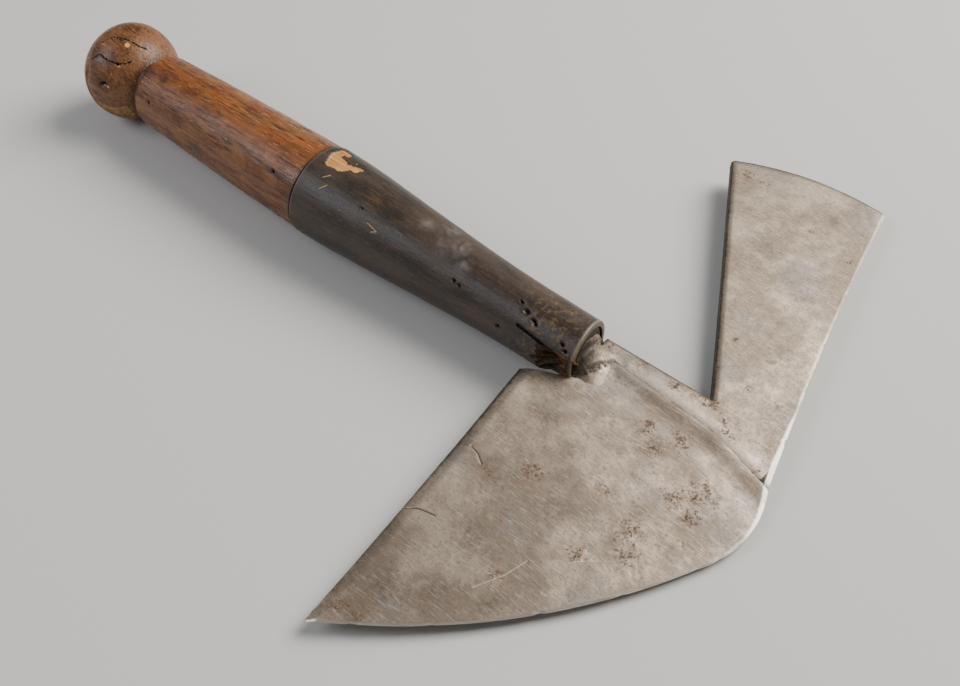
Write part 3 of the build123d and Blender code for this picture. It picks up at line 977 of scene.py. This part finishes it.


# %% [markdown]
# ## Forged iron with an old patina
# Wrought iron that was wiped with oil for a century: a warm grey-beige film over metal, with
# cloudy patches a few centimetres wide, black hammer scale in the hollows, brown rust, and fine
# strokes left by wiping and whetting. The same black is also painted as shade along the rounded heel,
# the slope beside the weld, the wing's end and back and round the handle's end, and the whetted edge
# is lightened partly as a painted highlight. The film is thin, so the metal still shines through softly.

# %% Forged iron
def forged_iron(name, film_light, film_dark, film_metal):
    """Wrought iron, hammered and wiped; reads rust, scale, worn, crack, hairline and ground."""
    material, tree, shader, where = new_material(name)
    clouds = ramp(tree, lumps(tree, where, 26.0, 5.0, 0.62), 0.4, 0.6)
    cold = ramp(tree, lumps(tree, where, 30.0, 4.0, 0.6, (1, 1, 1), (0, 0, 1.0)), 0.5, 0.64)
    mottle = ramp(tree, lumps(tree, where, 4.0, 6.0, 0.75), 0.4, 0.62)
    speckle = ramp(tree, lumps(tree, where, 1.0, 4.0, 0.75), 0.52, 0.66)
    wiping = lumps(tree, where, 0.5, 3.0, 0.6, (26, 1, 1), (0, 0, radians(-38)))
    cross = lumps(tree, where, 0.45, 3.0, 0.6, (20, 1, 1), (0, 0, radians(24)))
    film = blend_colour(tree, clouds, film_dark, film_light)
    film = tint(tree, film, cold, 0.55, "#7d7c7b")
    film = tint(tree, film, mottle, 0.5, "#7d6f60")
    film = tint(tree, film, ramp(tree, wiping, 0.5, 0.75), 0.35, "#d6cabc")
    film = tint(tree, film, ramp(tree, cross, 0.56, 0.8), 0.4, "#746a5f")
    film = tint(tree, film, attribute(tree, "worn"), 0.55, "#d2c6b8")
    film = tint(tree, film, speckle, 0.42, "#4c4136")
    torn = lumps(tree, where, 2.4, 5.0, 0.75)
    # The scale attribute darkens real hammer scale and also paints shade on the heel, the weld's slope and
    # the wing's end and back.
    scale = maths(tree, "ADD", attribute(tree, "scale"), maths(tree, "SUBTRACT", torn, 0.5))
    scale = maths(tree, "MULTIPLY", ramp(tree, scale, 0.18, 0.95), 0.92)
    film = blend_colour(tree, scale, film, "#2b2621")
    stain = maths(tree, "MULTIPLY", attribute(tree, "rust"), 0.3)
    film = tint(tree, film, stain, ramp(tree, torn, 0.4, 0.6), "#7a5a3e")
    eaten = maths(tree, "ADD", lumps(tree, where, 0.8, 5.0, 0.75), stain)
    eaten = maths(tree, "ADD", eaten, maths(tree, "SUBTRACT", maths(tree, "MULTIPLY", torn, 0.8), 0.4))
    eaten = ramp(tree, eaten, 0.76, 0.84)
    rust = blend_colour(tree, ramp(tree, lumps(tree, where, 1.0, 4.0, 0.7), 0.4, 0.6), "#38271a", "#6b4f38")
    film = tint(tree, film, eaten, 0.85, rust)
    film = tint(tree, film, ramp(tree, attribute(tree, "crack"), 0.2, 0.7), 0.8, "#1d1712")
    film = tint(tree, film, ramp(tree, attribute(tree, "hairline"), 0.2, 0.9), 0.5, "#e6dccf")
    # Lighter on the whetted bevel: bright ground steel and a painted highlight.
    whetted_and_highlight = attribute(tree, "whetted_and_highlight")
    film = tint(tree, film, whetted_and_highlight, 0.7, "#c6beb4")
    rough = blend_value(tree, clouds, 0.46, 0.38)
    rough = blend_value(tree, maths(tree, "MULTIPLY", mottle, 0.6), rough, 0.55)
    rough = blend_value(tree, scale, rough, 0.62)
    rough = blend_value(tree, eaten, rough, 0.85)
    rough = blend_value(tree, whetted_and_highlight, rough, 0.36)
    metal = blend_value(tree, eaten, film_metal, 0.0)
    tree.links.new(metal, shader.inputs["Metallic"])
    height = maths(tree, "ADD", maths(tree, "MULTIPLY", wiping, 0.35), maths(tree, "MULTIPLY", cross, 0.25))
    height = maths(tree, "ADD", height, maths(tree, "MULTIPLY", lumps(tree, where, 1.6, 4.0, 0.65), 0.5))
    dress(tree, shader, film, rough, height, 0.12)
    return material


# The wing's iron is a lighter copy: painted light where its face turns towards the lamp, the main plate's
# copy being the shaded one.
main_iron = forged_iron("forged_iron_main_plate", "#ab9c8b", "#7b6e60", 0.65)
wing_iron_painted_lit = forged_iron("forged_iron_wing_painted_lit", "#b6a795", "#8b7e6e", 0.65)
main_plate.data.materials.append(main_iron)
main_strip.data.materials.append(main_iron)
wing_plate.data.materials.append(wing_iron_painted_lit)
wing_strip.data.materials.append(wing_iron_painted_lit)

# %% [markdown]
# ## Wood
# Beech and fruitwood both show long fibres along the axis. The rear handle keeps its oil, greyer and
# paler where it has dried; its top is painted orange as light where the lamp falls on it, and its neck
# groove and seam are painted dark as shade. The grip has taken up soot and iron, so only its edges and
# breaks show brown, with painted highlights round its front rim and rear end. Raw wood is dull and
# bright orange.

# %% Red-brown oiled wood
def oiled_wood():
    """Red-brown oiled wood; reads crack, raw, sliver, groove, knot, neck, seam, top and ball."""
    material, tree, shader, where = new_material("oiled_red_brown_wood")
    fibre = lumps(tree, where, 0.9, 6.0, 0.7, (22, 1, 1))
    bands = lumps(tree, where, 4.5, 4.0, 0.6, (9, 1, 1))
    patches = ramp(tree, lumps(tree, where, 16.0, 4.0, 0.65), 0.38, 0.62)
    colour = blend_colour(tree, ramp(tree, bands, 0.36, 0.64), "#7c4a26", "#563019")
    colour = tint(tree, colour, patches, 0.6, "#96653c")
    # Orange on the top in noisy patches: painted light where the lamp falls on the handle's upper side.
    patchy_top_light = ramp(tree, lumps(tree, where, 7.0, 4.0, 0.6, (3, 1, 1)), 0.35, 0.6)
    lit = maths(tree, "MULTIPLY", attribute(tree, "top"), patchy_top_light)
    colour = tint(tree, colour, lit, 0.75, "#9a541f")
    colour = tint(tree, colour, ramp(tree, fibre, 0.48, 0.66), 0.75, "#341a0e")
    # Pale flecks: scratched varnish, lightened also as painted glints.
    flecks = ramp(tree, lumps(tree, where, 0.7, 5.0, 0.8, (7, 1, 1)), 0.56, 0.66)
    colour = tint(tree, colour, flecks, 0.7, "#cc9c62")
    colour = tint(tree, colour, attribute(tree, "groove"), 1.6, "#2a130a")
    colour = tint(tree, colour, attribute(tree, "knot"), 0.8, "#3a1c12")
    split = blend_colour(tree, ramp(tree, fibre, 0.35, 0.65), "#c29a5e", "#80623a")
    colour = tint(tree, colour, attribute(tree, "sliver"), 0.9, split)
    colour = blend_colour(tree, ramp(tree, attribute(tree, "raw"), 0.2, 0.6), colour, "#e0a45c")
    # Painted shade darkens the neck groove and the seam against the grip.
    painted_neck_and_seam_shade = maths(tree, "MAXIMUM", attribute(tree, "neck"), attribute(tree, "seam"))
    colour = tint(tree, colour, painted_neck_and_seam_shade, 0.85, "#1d120c")
    colour = blend_colour(tree, ramp(tree, attribute(tree, "crack"), 0.2, 0.6), colour, "#0d0806")
    rough = blend_value(tree, patches, 0.24, 0.38)
    rough = blend_value(tree, ramp(tree, fibre, 0.45, 0.7), rough, 0.55)
    height = maths(tree, "ADD", maths(tree, "MULTIPLY", fibre, 0.7), maths(tree, "MULTIPLY", flecks, 0.3))
    dress(tree, shader, colour, rough, height, 0.25)
    return material


# %% Blackened wood
def blackened_wood():
    """Beech blackened by soot and oil; reads raw, chip, hole, scratch, rubbed, rim, front, end_band."""
    material, tree, shader, where = new_material("blackened_beech")
    fibre = lumps(tree, where, 0.8, 6.0, 0.7, (24, 1, 1))
    fine = lumps(tree, where, 1.1, 5.0, 0.75)
    patches = ramp(tree, lumps(tree, where, 12.0, 4.0, 0.65, (2.5, 1, 1)), 0.4, 0.62)
    colour = blend_colour(tree, patches, "#2c241d", "#40342a")
    colour = tint(tree, colour, ramp(tree, fibre, 0.5, 0.68), 0.7, "#5e4426")
    colour = tint(tree, colour, ramp(tree, fine, 0.56, 0.7), 0.4, "#6e6459")
    bare = ramp(tree, lumps(tree, where, 2.2, 5.0, 0.75), 0.5, 0.64)
    worn = maths(tree, "MULTIPLY", attribute(tree, "front"), bare)
    colour = tint(tree, colour, worn, 0.6, "#7a6042")
    colour = tint(tree, colour, attribute(tree, "rubbed"), 0.5, "#7d7570")
    colour = tint(tree, colour, ramp(tree, attribute(tree, "scratch"), 0.3, 0.8), 0.8, "#b79a74")
    # Painted highlight along the front rim.
    colour = tint(tree, colour, attribute(tree, "rim"), 0.5, "#a79880")
    # Painted highlight along the grip's rear end.
    colour = tint(tree, colour, attribute(tree, "end_band"), 0.6, "#8d7f6c")
    splinters = ramp(tree, lumps(tree, where, 0.8, 4.0, 0.7, (6, 1, 1)), 0.5, 0.64)
    torn = blend_colour(tree, splinters, "#4e2b14", "#c48240")
    colour = blend_colour(tree, ramp(tree, attribute(tree, "raw"), 0.15, 0.8), colour, torn)
    fresh = blend_colour(tree, ramp(tree, fibre, 0.42, 0.62), "#d19a5c", "#a56c36")
    colour = blend_colour(tree, ramp(tree, attribute(tree, "chip"), 0.3, 0.7), colour, fresh)
    colour = blend_colour(tree, ramp(tree, attribute(tree, "hole"), 0.2, 0.6), colour, "#080605")
    rough = blend_value(tree, patches, 0.36, 0.46)
    rough = blend_value(tree, attribute(tree, "raw"), rough, 0.75)
    height = maths(tree, "ADD", maths(tree, "MULTIPLY", fibre, 0.5), maths(tree, "MULTIPLY", fine, 0.5))
    dress(tree, shader, colour, rough, height, 0.22)
    return material


# %% Dark iron of the washer
def washer_iron():
    """Black forge-scaled iron with a painted highlight along its rim; reads rim."""
    material, tree, shader, where = new_material("black_scaled_iron")
    patches = ramp(tree, lumps(tree, where, 2.5, 4.0, 0.65), 0.4, 0.6)
    colour = blend_colour(tree, patches, "#2a2420", "#4a3b2d")
    # Painted highlight along the rim.
    colour = tint(tree, colour, attribute(tree, "rim"), 0.8, "#a08f7a")
    rough = blend_value(tree, patches, 0.42, 0.6)
    shader.inputs["Metallic"].default_value = 0.7
    dress(tree, shader, colour, rough, lumps(tree, where, 0.9, 4.0, 0.7), 0.1)
    return material


rear_piece.data.materials.append(oiled_wood())
grip_piece.data.materials.append(blackened_wood())
washer_piece.data.materials.append(washer_iron())
print("materials:", [m.name for m in bpy.data.materials if m.users])

# %% [markdown]
# ## Table and light
# A plain pale table under one very large soft light from behind the wing's side, with a dim fill
# on the heel's side. The large light draws a long soft sheen down the handle and an even glow on the
# blade; the shadow falls towards the heel side.

# %% Floor
floor_half = 6.0
floor_bm = bmesh.new()
bmesh.ops.create_grid(floor_bm, x_segments=4, y_segments=4, size=floor_half)
floor_mesh = bpy.data.meshes.new("table_top")
floor_bm.to_mesh(floor_mesh)
floor_bm.free()
floor = bpy.data.objects.new("table_top", floor_mesh)
bpy.context.scene.collection.objects.link(floor)

floor_material, _, shader, _ = new_material("matt_pale_paper")
shader.inputs["Base Color"].default_value = hex_colour("#cfcecb")
shader.inputs["Roughness"].default_value = 0.85
floor_mesh.materials.append(floor_material)


# %% Lights
def soft_light(name, place, aim, size, watts, colour):
    """A square area light at place, aimed at a point, both in metres."""
    data = bpy.data.lights.new(name, "AREA")
    data.shape = "SQUARE"
    data.size = size
    data.energy = watts
    data.color = hex_colour(colour)[:3]
    light = bpy.data.objects.new(name, data)
    bpy.context.scene.collection.objects.link(light)
    light.location = place
    light.rotation_euler = (Vector(aim) - Vector(place)).to_track_quat("-Z", "Y").to_euler()


soft_light("window", (0.55, 0.95, 1.05), (0.0, 0.0, 0.0), 1.0, 38.0, "#fffaf4")
soft_light("fill", (-0.75, -0.75, 0.85), (-0.05, 0.0, 0.0), 0.7, 7.0, "#f4f7ff")

world = bpy.data.worlds.new("studio")
bpy.context.scene.world = world
world.use_nodes = True
world.node_tree.nodes["Background"].inputs["Color"].default_value = hex_colour("#f0f0f0")
world.node_tree.nodes["Background"].inputs["Strength"].default_value = 0.24
